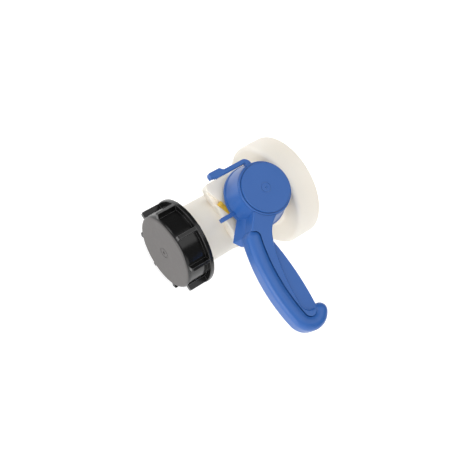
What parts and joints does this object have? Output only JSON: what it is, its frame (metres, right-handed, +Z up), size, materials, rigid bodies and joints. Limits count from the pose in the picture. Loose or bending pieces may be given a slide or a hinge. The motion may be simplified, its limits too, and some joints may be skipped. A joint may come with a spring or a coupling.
{
  "type": "butterfly valve",
  "caption": "Moulded plastic butterfly valve for a bulk liquid tank, with a cranked turning handle, a screw cap on its outlet and a socket collar at its inlet.",
  "frame": {"origin": "on the pipe's axis, at the mouth of the inlet collar", "axes": "+Y out of the inlet collar towards the tank, -Y out of the outlet, +Z up along the spindle to the handle, +X along the lever when the valve is shut"},
  "size_m": [0.1702, 0.1382, 0.1109],
  "materials": {
    "natural_plastic": "natural white polyethylene, slightly translucent, fine moulded grain",
    "blue_plastic": "satin blue moulded polypropylene",
    "black_plastic": "black moulded polypropylene with a fine spark-eroded grain",
    "yellow_plastic": "satin yellow moulded plastic",
    "white_plastic": "white moulded acetal, smooth bearing faces",
    "black_rubber": "black moulded rubber",
    "gasket_rubber": "pale foamed sealing rubber",
    "steel": "turned stainless steel"
  },
  "bodies": {
    "body": {"valve_body": "natural_plastic", "spindle_bush": "white_plastic", "retaining_clip": "steel", "foot_bush": "white_plastic", "foot_ring": "black_rubber"},
    "turning_set": {"handle": "blue_plastic", "hub_cover": "blue_plastic", "handle_screw": "steel", "handle_washer": "steel", "spindle": "white_plastic", "thrust_washer": "white_plastic", "lower_spindle_ring": "black_rubber", "upper_spindle_ring": "black_rubber", "flap_disc": "natural_plastic", "flap_seal": "black_rubber"},
    "gasket": {"cap_gasket": "gasket_rubber"},
    "cap": {"outlet_cap": "black_plastic"},
    "peg": {"safety_peg": "yellow_plastic"}
  },
  "joints": [
    {"name": "handle_turn", "type": "hinge", "parent": "body", "child": "turning_set", "pos_m": [0, -0.055, 0], "axis": [0, 0, -1], "range_deg": [0, 90]},
    {"name": "cap_travel", "type": "slide", "parent": "body", "child": "gasket", "axis": [0, -1, 0], "range_m": [0, 0.0181]},
    {"name": "cap_turn", "type": "hinge", "parent": "gasket", "child": "cap", "pos_m": [0, -0.1352, 0], "axis": [0, -1, 0], "range_deg": [0, 1080]},
    {"name": "peg_pull", "type": "slide", "parent": "body", "child": "peg", "axis": [-0.9272, -0.3746, 0], "range_m": [0, 0.024]}
  ],
  "couplings": [
    {"joint": "cap_travel", "follows": "cap_turn", "m_per_rad": 0.00095493}
  ]
}
